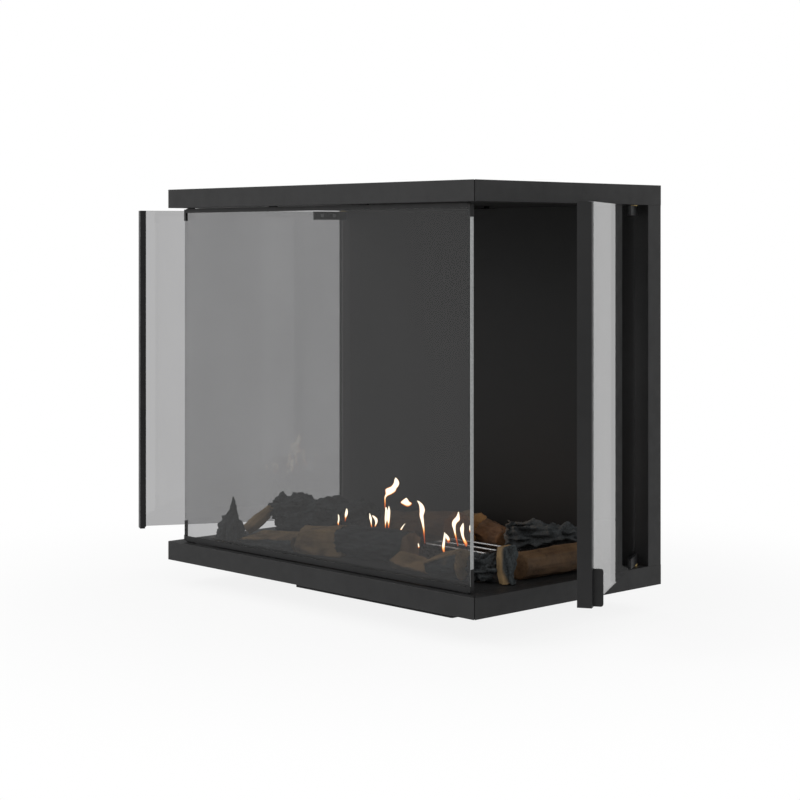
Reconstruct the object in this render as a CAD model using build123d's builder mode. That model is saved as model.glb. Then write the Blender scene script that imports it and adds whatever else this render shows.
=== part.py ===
from build123d import *
import math
import os

# A three-sided built-in gas fire: a fixed front pane, two side doors of glass
# on vertical pivots, and a set of moulded logs over a burner.
# All lengths are in millimetres and all angles in degrees.
# X runs to the viewer's right, Y to the rear and Z up. The origin is the
# middle of the fire's width and depth, on the surface that the base stands on.

# Frame
frame_width = 834.0
frame_depth = 484.0
bar_size = 36.0
bar_wall = 2.0
bar_edge = 0.8
view_height = 650.0
corner_gap = 1.0
sheet = 2.0

# Base compartment under the frame
base_side_room = 15.0
base_drop = 46.0
base_front = 89.0
base_rear = 150.0
base_corner = 3.0
vent_length = 26.0
vent_width = 4.0
vent_spacing = 12.0
vent_count = 7

# Fixed front pane
pane_setback = 19.4
pane_thickness = 8.0
pane_inset = 28.0
pane_edge = 0.5
pane_lift = 3.0
pane_top_gap = 3.0
strip_thickness = 1.2
strip_height = 7.9
rail_height = 10.1
strip_inset = 5.5
clip_thickness = 0.5
clip_top_height = 22.0
clip_bottom_height = 38.0
pad_length = 20.0
pad_count = 4

# Side doors
pivot_from_side = 24.5
pivot_from_rear = 45.0
right_open_angle = 30.0
left_open_angle = 28.0
door_front_setback = 8.0
door_glass = 4.0
glass_behind_pivot = 3.5
door_bottom_gap = 4.0
door_top_gap = 2.0
stile_depth = 24.0
stile_width = 10.0
stile_leg = 15.0
stile_cover = 1.5
stile_bottom_gap = 1.5
stile_top_gap = 2.3
groove_clearance = 0.1
seal_thickness = 1.2
seal_width = 14.0
seal_end_gap = 1.0
seal_setback = 0.3

# Pivot shoes that clamp the door glass, their pins and bushes
shoe_length = 65.0
shoe_height = 17.3
jaw_thickness = 3.0
pin_diameter = 6.0
pin_length = 12.0
pin_clearance = 0.05
bush_wall = 2.0
bush_flange = 1.5
bush_flange_thickness = 1.0
bush_sleeve = 6.0
thrust_gap = 0.2
screw_diameter = 4.0
screw_head = 7.0
screw_head_height = 1.6
screw_clearance = 0.05
glass_hole_clearance = 0.2
first_screw = 22.0
screw_spacing = 26.0

# Pull tab at the foot of each stile
tab_reach = 16.0
tab_height = 60.0
tab_thickness = 3.0
tab_corner = 4.0
tab_lift = 1.2

# Back of the firebox
liner_sheet = 2.0
insulation_thickness = 25.0
wall_hole_diameter = 8.5
wall_hole_spacing_x = 640.0
wall_hole_spacing_z = 520.0

# Top and flue socket
flue_bore = 100.0
flue_air_bore = 146.0
flue_wall = 2.0
collar_neck_depth = 1.0
collar_neck_height = 2.0
flue_below_rim = 2.0
flue_opening_diameter = 170.0
top_plate_below_rim = 10.0
air_hole_diameter = 14.0
air_hole_count = 10
baffle_width = 300.0
baffle_depth = 190.0
baffle_sheet = 1.5
baffle_drop = 4.0
spacer_diameter = 10.0
spacer_inset = 15.0

# Burner and gas train
tray_width = 396.0
tray_depth = 140.0
tray_well = 30.0
tray_wall = 1.5
tray_lip = 7.0
tray_clearance = 0.5
bed_rise = 1.5
rod_diameter = 5.0
rod_length = 150.0
rod_spacing = 38.0
rod_height = 26.0
rod_plate = 3.0
rack_middle_x = 160.0
rack_middle_y = 20.0
valve_length = 62.0
valve_depth = 40.0
valve_height = 34.0
valve_from_side = 108.0
valve_row = 40.0
valve_knob_diameter = 22.0
valve_knob_length = 20.0
gas_pipe_diameter = 10.0
gas_thread_diameter = 16.6
gas_neck_diameter = 14.0
gas_bore = 9.0
gas_stub = 15.0
gas_hole_diameter = 20.0
gas_nut = 24.0
gas_nut_height = 6.0
control_width = 90.0
control_depth = 56.0
control_height = 32.0
pilot_height = 20.0
pilot_hood = 12.0
pilot_nozzle_diameter = 8.0
pilot_nozzle_height = 14.0

# Moulded logs
log_girth = 64.0
log_rings = 5
bed_side_margin = 47.0
bed_end_margin = 42.0
log_seat_gap = 0.3

# Levels and planes that the sizes above fix
base_width = tray_width + 2 * base_side_room
valve_offset = base_width / 2 - valve_from_side
half_width = frame_width / 2
half_depth = frame_depth / 2
inner_half_width = half_width - bar_size
inner_half_depth = half_depth - bar_size
bed_half_width = half_width - bed_side_margin
bed_half_depth = half_depth - bed_end_margin
frame_bottom = base_drop
floor_top = frame_bottom + bar_size
ceiling = floor_top + view_height
frame_top = ceiling + bar_size
pane_front = -half_depth + pane_setback
pane_rear = pane_front + pane_thickness
pane_half_width = half_width - pane_inset
pane_bottom = floor_top + pane_lift
pane_top = ceiling - pane_top_gap
strip_half_width = pane_half_width - strip_inset
pivot_x = half_width - pivot_from_side
pivot_y = half_depth - pivot_from_rear
door_reach = pivot_y + half_depth - door_front_setback
glass_bottom = floor_top + door_bottom_gap
glass_top = ceiling - door_top_gap
stile_bottom = floor_top + stile_bottom_gap
stile_top = ceiling - stile_top_gap

os.makedirs("parts", exist_ok=True)


def keep(piece, name):
    """Label a finished piece and write its file."""
    piece.part.label = name
    export_step(piece.part, "parts/" + name + ".step")


def bar_section(across, up):
    """Draw the hollow square section of a frame bar about a point of the sketch."""
    with Locations((across, up)):
        Rectangle(bar_size, bar_size)
    fillet(vertices(), bar_edge)
    with Locations((across, up)):
        Rectangle(bar_size - 2 * bar_wall, bar_size - 2 * bar_wall, mode=Mode.SUBTRACT)


def corner_plane(side, facing):
    """Return the mitre plane of a front corner, facing the part that stays."""
    direction = Vector(side, 1, 0).normalized() * facing
    corner = Vector(side * half_width, -half_depth, 0)
    across = Vector(side, -1, 0)
    return Plane(origin=corner + direction * corner_gap / 2, x_dir=across, z_dir=direction)


# Front and rear bars
levels = {"bottom": frame_bottom + bar_size / 2, "top": ceiling + bar_size / 2}
for level, height in levels.items():
    with BuildPart() as front_bar:
        with BuildSketch(Plane.YZ.offset(-half_width)):
            bar_section(-half_depth + bar_size / 2, height)
        extrude(amount=frame_width)
        for side in (-1, 1):
            split(bisect_by=corner_plane(side, -1), keep=Keep.TOP)
    keep(front_bar, "front_" + level + "_bar")

with BuildPart() as rear_bars:
    for height in levels.values():
        with BuildSketch(Plane.YZ.offset(-inner_half_width)):
            bar_section(half_depth - bar_size / 2, height)
        extrude(amount=2 * inner_half_width)
keep(rear_bars, "rear_bars")

# Side bars, drilled for the door bushes, and the posts between them
bush_hole = pin_diameter / 2 + pin_clearance + bush_wall
for side, hand in ((-1, "left"), (1, "right")):
    for level, height in levels.items():
        with BuildPart() as side_bar:
            with BuildSketch(Plane.XZ.offset(-half_depth)):
                bar_section(side * (half_width - bar_size / 2), height)
            extrude(amount=frame_depth)
            with BuildSketch(Plane.XZ.offset(-half_depth)):
                with Locations((side * (half_width - bar_size / 2), height)):
                    Rectangle(bar_size - bar_wall, bar_size - bar_wall)
            extrude(amount=bar_wall)
            split(bisect_by=corner_plane(side, 1), keep=Keep.TOP)
            facing_wall = floor_top - bar_wall if level == "bottom" else ceiling
            with BuildSketch(Plane.XY.offset(facing_wall)):
                with Locations((side * pivot_x, pivot_y)):
                    Circle(bush_hole)
            extrude(amount=bar_wall, mode=Mode.SUBTRACT)
        keep(side_bar, hand + "_" + level + "_bar")

with BuildPart() as rear_posts:
    for side in (-1, 1):
        with BuildSketch(Plane.XY.offset(floor_top)):
            bar_section(side * (half_width - bar_size / 2), half_depth - bar_size / 2)
        extrude(amount=view_height)
keep(rear_posts, "rear_posts")

# Firebox floor with the burner opening
with BuildPart() as floor_plate:
    with BuildSketch(Plane.XY.offset(floor_top - sheet)):
        Rectangle(2 * inner_half_width, 2 * inner_half_depth)
        Rectangle(tray_width + 2 * tray_clearance, tray_depth + 2 * tray_clearance, mode=Mode.SUBTRACT)
    extrude(amount=sheet)
keep(floor_plate, "floor_plate")

# Base compartment: a folded pan that hangs from the floor and carries the fire
base_depth = base_front + base_rear
base_middle = (base_rear - base_front) / 2
base_height = floor_top - sheet
gas_level = sheet + valve_height / 2
with BuildPart() as base_box:
    with BuildSketch(Plane.XY):
        with Locations((0, base_middle)):
            RectangleRounded(base_width, base_depth, base_corner)
    extrude(amount=base_height)
    with BuildSketch(Plane.XY.offset(sheet)):
        with Locations((0, base_middle)):
            Rectangle(base_width - 2 * sheet, base_depth - 2 * sheet)
    extrude(amount=base_height, mode=Mode.SUBTRACT)
    with BuildSketch(Plane.YZ.offset(-base_width / 2)):
        with Locations((base_middle, base_drop / 2)):
            with GridLocations(vent_spacing, 1, vent_count, 1):
                SlotOverall(vent_length, vent_width, rotation=90)
    extrude(amount=base_width, mode=Mode.SUBTRACT)
    with BuildSketch(Plane.XZ.offset(-base_rear)):
        with Locations((valve_offset, gas_level)):
            Circle(gas_hole_diameter / 2)
    extrude(amount=sheet, mode=Mode.SUBTRACT)
keep(base_box, "base_box")

# Back of the firebox: liner, insulation board and outer casing
with BuildPart() as back_liner:
    with BuildSketch(Plane.XY.offset(floor_top)):
        with Locations((0, inner_half_depth + liner_sheet / 2)):
            Rectangle(2 * inner_half_width, liner_sheet)
    extrude(amount=view_height)
keep(back_liner, "back_liner")

insulation_front = inner_half_depth + liner_sheet
with BuildPart() as back_insulation:
    with BuildSketch(Plane.XY.offset(floor_top)):
        with Locations((0, insulation_front + insulation_thickness / 2)):
            Rectangle(2 * inner_half_width, insulation_thickness)
    extrude(amount=view_height)
keep(back_insulation, "back_insulation")

casing_flange = half_depth - insulation_front - insulation_thickness
with BuildPart() as rear_casing:
    with BuildSketch(Plane.XY.offset(floor_top)):
        with Locations((0, half_depth - casing_flange / 2)):
            Rectangle(2 * inner_half_width, casing_flange)
    extrude(amount=view_height)
    with BuildSketch(Plane.XZ.offset(-half_depth + sheet)):
        with Locations((0, floor_top + view_height / 2)):
            Rectangle(2 * (inner_half_width - sheet), view_height - 2 * sheet)
    extrude(amount=casing_flange, mode=Mode.SUBTRACT)
    with BuildSketch(Plane.XZ.offset(-half_depth)):
        with Locations((0, floor_top + view_height / 2)):
            with GridLocations(wall_hole_spacing_x, wall_hole_spacing_z, 2, 2):
                Circle(wall_hole_diameter / 2)
    extrude(amount=sheet, mode=Mode.SUBTRACT)
keep(rear_casing, "rear_casing")

# Ceiling, flue collars, top plate and the baffle under the flue
collar_radius = flue_bore / 2 + flue_wall
air_hole_ring = (collar_radius + flue_air_bore / 2) / 2
with BuildPart() as ceiling_plate:
    with BuildSketch(Plane.XY.offset(ceiling)):
        Rectangle(2 * inner_half_width, 2 * inner_half_depth)
        Circle(flue_bore / 2, mode=Mode.SUBTRACT)
        with PolarLocations(air_hole_ring, air_hole_count):
            Circle(air_hole_diameter / 2, mode=Mode.SUBTRACT)
    extrude(amount=sheet)
keep(ceiling_plate, "ceiling_plate")

collar_base = ceiling + sheet
collar_height = frame_top - flue_below_rim - collar_base
with BuildPart() as flue_collars:
    for bore in (flue_bore, flue_air_bore):
        with BuildSketch(Plane.XY.offset(collar_base)):
            Circle(bore / 2 + flue_wall - collar_neck_depth)
            Circle(bore / 2, mode=Mode.SUBTRACT)
        extrude(amount=collar_neck_height)
        with BuildSketch(Plane.XY.offset(collar_base + collar_neck_height)):
            Circle(bore / 2 + flue_wall)
            Circle(bore / 2, mode=Mode.SUBTRACT)
        extrude(amount=collar_height - collar_neck_height)
keep(flue_collars, "flue_collars")

top_plate_level = frame_top - top_plate_below_rim - sheet
with BuildPart() as top_plate:
    with BuildSketch(Plane.XY.offset(top_plate_level)):
        Rectangle(2 * inner_half_width, 2 * inner_half_depth)
        Circle(flue_opening_diameter / 2, mode=Mode.SUBTRACT)
    extrude(amount=sheet)
keep(top_plate, "top_plate")

with BuildPart() as flue_baffle:
    with BuildSketch(Plane.XY.offset(ceiling - baffle_drop)):
        RectangleRounded(baffle_width, baffle_depth, spacer_diameter)
    extrude(amount=-baffle_sheet)
    with BuildSketch(Plane.XY.offset(ceiling - baffle_drop)):
        with GridLocations(baffle_width - 2 * spacer_inset, baffle_depth - 2 * spacer_inset, 2, 2):
            Circle(spacer_diameter / 2)
    extrude(amount=baffle_drop)
keep(flue_baffle, "flue_baffle")

# Front pane on its rail, under its top strip, with a clip at each corner
with BuildPart() as front_pane:
    with BuildSketch(Plane.XY.offset(pane_bottom)):
        with Locations((0, (pane_front + pane_rear) / 2)):
            Rectangle(2 * pane_half_width, pane_thickness)
        chamfer(vertices(), pane_edge)
    extrude(amount=pane_top - pane_bottom)
keep(front_pane, "front_pane")


def pane_strip(edge, direction, flange, seat):
    """Make the angle that holds one long edge of the pane against a bar."""
    lip = direction * strip_thickness
    with BuildPart() as strip:
        with BuildSketch(Plane.YZ.offset(-strip_half_width)):
            with BuildLine():
                Polyline(
                    (pane_rear, edge),
                    (pane_front, edge),
                    (pane_front, edge - direction * (flange - strip_thickness)),
                    (pane_front - strip_thickness, edge - direction * (flange - strip_thickness)),
                    (pane_front - strip_thickness, edge + lip),
                    (pane_rear, edge + lip),
                    close=True,
                )
            make_face()
        extrude(amount=2 * strip_half_width)
        with BuildSketch(Plane.XY.offset(edge + lip)):
            with Locations((0, (pane_front + pane_rear) / 2)):
                with GridLocations((2 * strip_half_width - pad_length) / (pad_count - 1), 1, pad_count, 1):
                    Rectangle(pad_length, pane_thickness / 2)
        extrude(amount=seat - edge - lip)
    return strip


keep(pane_strip(pane_bottom, -1, rail_height, floor_top), "pane_rail")
keep(pane_strip(pane_top, 1, strip_height, ceiling), "pane_top_strip")

clip_reach = pane_half_width - strip_half_width - corner_gap / 2
clip_middle = pane_half_width + clip_thickness / 2
clip_levels = ((pane_bottom, clip_bottom_height, rail_height), (pane_top, -clip_top_height, clip_top_height))
with BuildPart() as pane_clips:
    for side in (-1, 1):
        for start, height, lip_height in clip_levels:
            with BuildSketch(Plane.XY.offset(start)):
                with Locations((side * clip_middle, (pane_front + pane_rear) / 2)):
                    Rectangle(clip_thickness, pane_thickness)
            extrude(amount=height)
            with BuildSketch(Plane.XY.offset(start)):
                lip_middle = pane_half_width + (clip_thickness - clip_reach) / 2
                with Locations((side * lip_middle, pane_front - strip_thickness / 2)):
                    Rectangle(clip_reach + clip_thickness, strip_thickness)
            extrude(amount=math.copysign(lip_height, height))
keep(pane_clips, "pane_clips")

# Side doors, each drawn along its own line from the pivot: x runs from the
# pivot to the stile, and y, times the side, points out of the firebox.
shoe_levels = ((glass_bottom, 1), (glass_top, -1))
screw_rows = (first_screw, first_screw + screw_spacing)
jaw_face = door_glass / 2 + jaw_thickness


def door_line(side, angle):
    """Return the door's own plane at floor level, turned to its open place."""
    turn = math.radians(angle)
    along = (side * math.sin(turn), -math.cos(turn), 0)
    return Plane(origin=(side * pivot_x, pivot_y, 0), x_dir=along, z_dir=(0, 0, 1))


def screw_plane(line, level, side, face):
    """Return the plane on a jaw's inner face, square to the glass, for the screws."""
    origin = line.from_local_coords(Vector(0, -side * face, level))
    return Plane(origin=origin, x_dir=line.x_dir, z_dir=line.y_dir * side)


def door_glass_panel(side, line):
    """Make the glass, drilled for the shoe screws."""
    with BuildPart() as panel:
        with BuildSketch(line.offset(glass_bottom)):
            with Locations((glass_behind_pivot, 0)):
                length = door_reach - 2 * stile_cover - glass_behind_pivot
                Rectangle(length, door_glass, align=(Align.MIN, Align.CENTER))
        extrude(amount=glass_top - glass_bottom)
        for level, way in shoe_levels:
            row = level + way * shoe_height / 2
            with BuildSketch(screw_plane(line, row, side, door_glass)):
                with Locations(*[(x, 0) for x in screw_rows]):
                    Circle(screw_diameter / 2 + glass_hole_clearance)
            extrude(amount=2 * door_glass, mode=Mode.SUBTRACT)
    return panel


def door_stile(side, line):
    """Make the stile, a grooved bar with a cover leg on the outside of the glass."""
    groove = door_glass / 2 + groove_clearance
    outer = door_glass / 2 + stile_cover
    with BuildPart() as stile:
        with BuildSketch(line.offset(stile_bottom)):
            with Locations((door_reach - stile_width, side * (outer - stile_depth / 2))):
                Rectangle(stile_width, stile_depth, align=(Align.MIN, Align.CENTER))
            with Locations((door_reach - stile_leg, side * (outer - (stile_cover - groove_clearance) / 2))):
                Rectangle(stile_leg, stile_cover - groove_clearance, align=(Align.MIN, Align.CENTER))
            with Locations((door_reach - stile_leg, 0)):
                reach = stile_leg - 2 * stile_cover + groove_clearance
                Rectangle(reach, 2 * groove, align=(Align.MIN, Align.CENTER), mode=Mode.SUBTRACT)
        extrude(amount=stile_top - stile_bottom)
    return stile


def door_seal(side, line):
    """Make the rope seal's flat strip, which meets the front pane when the door is shut."""
    low = pane_bottom + rail_height + seal_end_gap
    high = pane_top - clip_top_height - seal_end_gap
    edge = door_glass / 2 + groove_clearance + seal_setback
    with BuildPart() as seal:
        with BuildSketch(line.offset(low)):
            with Locations((door_reach - stile_width - seal_thickness / 2, -side * (edge + seal_width / 2))):
                Rectangle(seal_thickness, seal_width)
        extrude(amount=high - low)
    return seal


def door_tab(side, line):
    """Make the pull tab, a plate with two rounded corners that stands out from the stile."""
    outer = door_glass / 2 + stile_cover
    origin = line.from_local_coords(Vector(door_reach - stile_leg, 0, stile_bottom + tab_lift))
    across = Plane(origin=origin, x_dir=line.y_dir * side, z_dir=line.x_dir * side)
    lower_edge = Align.MIN if across.y_dir.Z > 0 else Align.MAX
    with BuildPart() as tab:
        with BuildSketch(across):
            with Locations((outer + tab_reach / 2, 0)):
                Rectangle(tab_reach, tab_height, align=(Align.CENTER, lower_edge))
            fillet(vertices().sort_by(Axis.X)[-2:], tab_corner)
        extrude(amount=side * tab_thickness)
    return tab


def pivot_shoe(side, line, level, way):
    """Make one shoe: two jaws joined round the glass edge, and the pin beyond them."""
    with BuildPart() as shoe:
        with BuildSketch(line.offset(level)):
            with BuildLine():
                Line((0, -jaw_face), (shoe_length, -jaw_face))
                Line((shoe_length, -jaw_face), (shoe_length, jaw_face))
                Line((shoe_length, jaw_face), (0, jaw_face))
                ThreePointArc((0, jaw_face), (-jaw_face, 0), (0, -jaw_face))
            make_face()
            with Locations((glass_behind_pivot, 0)):
                Rectangle(shoe_length, door_glass, align=(Align.MIN, Align.CENTER), mode=Mode.SUBTRACT)
        extrude(amount=way * shoe_height)
        with BuildSketch(line.offset(level)):
            Circle(pin_diameter / 2)
        extrude(amount=-way * pin_length)
        with BuildSketch(screw_plane(line, level + way * shoe_height / 2, side, jaw_face + screw_clearance)):
            with Locations(*[(x, 0) for x in screw_rows]):
                Circle(screw_diameter / 2 + screw_clearance)
        extrude(amount=2 * (jaw_face + screw_clearance), mode=Mode.SUBTRACT)
    return shoe


def shoe_screws(side, line):
    """Make the four clamp screws, with low heads on the inside."""
    with BuildPart() as screws:
        for level, way in shoe_levels:
            row = level + way * shoe_height / 2
            with BuildSketch(screw_plane(line, row, side, jaw_face)):
                with Locations(*[(x, 0) for x in screw_rows]):
                    Circle(screw_diameter / 2)
            extrude(amount=2 * jaw_face)
            with BuildSketch(screw_plane(line, row, side, jaw_face)):
                with Locations(*[(x, 0) for x in screw_rows]):
                    Circle(screw_head / 2)
            extrude(amount=-screw_head_height)
    return screws


for side, hand, angle in ((-1, "left", left_open_angle), (1, "right", right_open_angle)):
    line = door_line(side, angle)
    keep(door_glass_panel(side, line), hand + "_door_glass")
    keep(door_stile(side, line), hand + "_stile")
    keep(door_seal(side, line), hand + "_stile_seal")
    keep(door_tab(side, line), hand + "_pull_tab")
    keep(pivot_shoe(side, line, glass_bottom, 1), hand + "_bottom_shoe")
    keep(pivot_shoe(side, line, glass_top, -1), hand + "_top_shoe")
    keep(shoe_screws(side, line), hand + "_shoe_screws")

# Flanged bushes that carry the door pins in the side bars
pin_bore = pin_diameter / 2 + pin_clearance
with BuildPart() as pivot_bushes:
    for side in (-1, 1):
        for wall, way, gap in ((floor_top, 1, door_bottom_gap), (ceiling, -1, door_top_gap)):
            flange_height = gap - thrust_gap
            with BuildSketch(Plane.XY.offset(wall)):
                with Locations((side * pivot_x, pivot_y)):
                    Circle(bush_hole + bush_flange)
                    Circle(pin_bore, mode=Mode.SUBTRACT)
            extrude(amount=way * flange_height)
            with BuildSketch(Plane.XY.offset(wall)):
                with Locations((side * pivot_x, pivot_y)):
                    Circle(bush_hole)
                    Circle(pin_bore, mode=Mode.SUBTRACT)
            extrude(amount=-way * (bar_wall + bush_sleeve))
keep(pivot_bushes, "pivot_bushes")

# Burner tray in the floor opening, and the bed of granules in it
tray_bottom = floor_top - tray_well
with BuildPart() as burner_tray:
    with BuildSketch(Plane.XY.offset(tray_bottom)):
        RectangleRounded(tray_width, tray_depth, base_corner)
    extrude(amount=tray_well)
    with BuildSketch(Plane.XY.offset(floor_top)):
        RectangleRounded(tray_width + 2 * tray_lip, tray_depth + 2 * tray_lip, tray_lip)
    extrude(amount=tray_wall)
    with BuildSketch(Plane.XY.offset(tray_bottom + tray_wall)):
        Rectangle(tray_width - 2 * tray_wall, tray_depth - 2 * tray_wall)
    extrude(amount=tray_well, mode=Mode.SUBTRACT)
keep(burner_tray, "burner_tray")

with BuildPart() as ember_bed:
    with BuildSketch(Plane.XY.offset(tray_bottom + tray_wall)):
        Rectangle(tray_width - 2 * tray_wall, tray_depth - 2 * tray_wall)
    extrude(amount=tray_well + bed_rise - tray_wall)
    chamfer(ember_bed.faces().sort_by(Axis.Z)[-1].edges(), bed_rise)
keep(ember_bed, "ember_bed")

# Rack of steel rods over the bed, which carries the upper logs
rod_level = floor_top + rod_height
half_rack = rod_spacing + 2 * rod_diameter
with BuildPart() as log_rack:
    with BuildSketch(Plane.YZ.offset(rack_middle_x - rod_length / 2)):
        with Locations((rack_middle_y, rod_level)):
            with GridLocations(rod_spacing, 1, 3, 1):
                Circle(rod_diameter / 2)
    extrude(amount=rod_length)
    for end in (-1, 1):
        with BuildSketch(Plane.YZ.offset(rack_middle_x + end * rod_length / 2)):
            foot = floor_top + tray_wall + bed_rise
            with BuildLine():
                Polyline(
                    (rack_middle_y - half_rack, foot),
                    (rack_middle_y - half_rack, rod_level + rod_diameter),
                    (rack_middle_y + half_rack, rod_level + rod_diameter),
                    (rack_middle_y + half_rack, foot),
                    (rack_middle_y + half_rack - 2 * rod_diameter, foot),
                    (rack_middle_y + half_rack - 3 * rod_diameter, rod_level - rod_diameter),
                    (rack_middle_y - half_rack + 3 * rod_diameter, rod_level - rod_diameter),
                    (rack_middle_y - half_rack + 2 * rod_diameter, foot),
                    close=True,
                )
            make_face()
        extrude(amount=end * rod_plate)
keep(log_rack, "log_rack")

# Gas train in the base: valve, inlet stub, feed pipe, control box and pilot
valve_top = sheet + valve_height
with BuildPart() as gas_valve:
    with BuildSketch(Plane.XY.offset(sheet)):
        with Locations((valve_offset, valve_row)):
            RectangleRounded(valve_length, valve_depth, base_corner)
    extrude(amount=valve_height)
    fillet(gas_valve.faces().sort_by(Axis.Z)[-1].edges(), base_corner / 2)
    with BuildSketch(Plane.YZ.offset(valve_offset + valve_length / 2)):
        with Locations((valve_row, gas_level)):
            Circle(valve_knob_diameter / 2)
    extrude(amount=valve_knob_length)
keep(gas_valve, "gas_valve")

valve_rear = valve_row + valve_depth / 2
with BuildPart() as gas_pipes:
    with BuildSketch(Plane.XZ.offset(-valve_rear)):
        with Locations((valve_offset, gas_level)):
            Circle(gas_pipe_diameter / 2)
    extrude(amount=valve_rear - base_rear + sheet + gas_nut_height)
    with BuildSketch(Plane.XZ.offset(-base_rear + sheet)):
        with Locations((valve_offset, gas_level)):
            RegularPolygon(gas_nut / 2, 6)
    extrude(amount=gas_nut_height)
    with BuildSketch(Plane.XZ.offset(-base_rear - gas_stub)):
        with Locations((valve_offset, gas_level)):
            Circle(gas_thread_diameter / 2)
    extrude(amount=gas_stub)
    with BuildSketch(Plane.XZ.offset(-base_rear)):
        with Locations((valve_offset, gas_level)):
            Circle(gas_neck_diameter / 2)
    extrude(amount=sheet)
    with BuildSketch(Plane.XZ.offset(-base_rear - gas_stub)):
        with Locations((valve_offset, gas_level)):
            Circle(gas_bore / 2)
    extrude(amount=gas_stub, mode=Mode.SUBTRACT)
    with BuildSketch(Plane.XY.offset(valve_top)):
        with Locations((valve_offset, valve_row)):
            Circle(gas_pipe_diameter / 2)
    extrude(amount=tray_bottom - valve_top)
    with BuildSketch(Plane.XY.offset(valve_top)):
        with Locations((valve_offset, valve_row)):
            RegularPolygon(gas_pipe_diameter, 6)
    extrude(amount=gas_nut_height)
keep(gas_pipes, "gas_pipes")

with BuildPart() as control_box:
    with BuildSketch(Plane.XY.offset(sheet)):
        with Locations((-valve_offset, valve_row)):
            RectangleRounded(control_width, control_depth, base_corner)
    extrude(amount=control_height)
    fillet(control_box.faces().sort_by(Axis.Z)[-1].edges(), base_corner / 2)
keep(control_box, "control_box")

pilot_x = -tray_width / 2 - tray_lip - pilot_hood / 2 - corner_gap
pilot_y = -tray_depth / 4
with BuildPart() as pilot_burner:
    with BuildSketch(Plane.XY.offset(floor_top)):
        with Locations((pilot_x, pilot_y)):
            RectangleRounded(pilot_hood, 2 * pilot_hood, tray_wall)
    extrude(amount=tray_wall)
    with BuildSketch(Plane.XY.offset(floor_top)):
        with Locations((pilot_x, pilot_y)):
            with GridLocations(1, pilot_hood, 1, 2):
                Circle(tray_wall)
    extrude(amount=pilot_height)
    with BuildSketch(Plane.XY.offset(floor_top)):
        with Locations((pilot_x, pilot_y)):
            Circle(pilot_nozzle_diameter / 2)
    extrude(amount=pilot_nozzle_height)
keep(pilot_burner, "pilot_burner")

# Moulded logs. A point of the bed is given as shares of its half width and
# half depth, and as a height above the floor in log girths.
knob_around = 2.4
knob_along = 1.9


def bed_point(across, deep, high):
    """Return the place of a point of the log bed."""
    return Vector(across * bed_half_width, deep * bed_half_depth, floor_top + high * log_girth)


def billet(start, end, girth, taper, sides, rough, phase, growth):
    """Return a rough round log between two points, lofted through its rings."""
    first = bed_point(*start)
    last = bed_point(*end)
    axis = (last - first).normalized()
    level = Vector(0, 0, 1) if abs(axis.Z) < 0.8 else Vector(0, 1, 0)
    across = axis.cross(level).normalized()
    with BuildPart() as wood:
        for station in range(log_rings):
            share = station / (log_rings - 1)
            bow = across * math.sin(math.pi * share) * rough * girth * log_girth / 3
            middle = first + (last - first) * share + bow + axis * growth * (2 * share - 1)
            radius = girth * log_girth / 2 * (1 + (taper - 1) * share)
            with BuildSketch(Plane(origin=middle, x_dir=across, z_dir=axis)):
                with BuildLine():
                    ring = []
                    for side in range(sides):
                        angle = 2 * math.pi * side / sides
                        knob = math.sin(knob_around * side + knob_along * station + phase)
                        reach = radius * (1 + rough * knob) + growth
                        ring.append((reach * math.cos(angle), reach * math.sin(angle)))
                    Polyline(*ring, close=True)
                make_face()
        loft(ruled=True)
    return wood.part


def split_plane(start, end, facing, share):
    """Return the plane of a split face, a share of a girth from the log's axis."""
    middle = (bed_point(*start) + bed_point(*end)) / 2
    normal = Vector(*facing).normalized()
    return Plane(origin=middle + normal * share * log_girth, z_dir=normal)


neighbours = []
with BuildPart() as bed_clearance:
    with BuildSketch(Plane.XY.offset(floor_top)):
        Rectangle(tray_width + 2 * (tray_lip + log_seat_gap), tray_depth + 2 * (tray_lip + log_seat_gap))
    extrude(amount=tray_wall + bed_rise)
neighbours.append(bed_clearance.part)
with BuildPart() as rack_clearance:
    with BuildSketch(Plane.YZ.offset(rack_middle_x - rod_length / 2 - rod_plate - log_seat_gap)):
        with Locations((rack_middle_y, rod_level)):
            with GridLocations(rod_spacing, 1, 3, 1):
                Circle(rod_diameter / 2 + log_seat_gap)
    extrude(amount=rod_length + 2 * (rod_plate + log_seat_gap))
    for end in (-1, 1):
        plate_start = rack_middle_x + end * (rod_length / 2 + rod_plate / 2)
        with BuildSketch(Plane.YZ.offset(plate_start)):
            with Locations((rack_middle_y, floor_top + (rod_height + rod_diameter) / 2)):
                Rectangle(2 * (half_rack + log_seat_gap), rod_height + rod_diameter + log_seat_gap)
        extrude(amount=rod_plate / 2 + log_seat_gap, both=True)
neighbours.append(rack_clearance.part)


def log(name, pieces, split_faces=()):
    """Make one log of one or more billets, seated on the floor and on earlier logs."""
    grown = []
    with BuildPart() as wood:
        for piece in pieces:
            add(billet(growth=0, **piece))
        for face in split_faces:
            split(bisect_by=face, keep=Keep.BOTTOM)
        split(bisect_by=Plane.XY.offset(floor_top), keep=Keep.TOP)
        for neighbour in neighbours:
            add(neighbour, mode=Mode.SUBTRACT)
        whole = wood.part.solids().sort_by(SortBy.VOLUME)[-1]
    with BuildPart() as seated:
        add(whole)
    keep(seated, name)
    with BuildPart() as cutter:
        for piece in pieces:
            add(billet(growth=log_seat_gap, **piece))
        for face in split_faces:
            split(bisect_by=face.offset(log_seat_gap), keep=Keep.BOTTOM)
    neighbours.append(cutter.part)


def shape(start, end, girth, taper=1.0, sides=9, rough=0.1, phase=0.0):
    """Collect the sizes of one billet under their names."""
    return dict(start=start, end=end, girth=girth, taper=taper, sides=sides, rough=rough, phase=phase)


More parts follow.
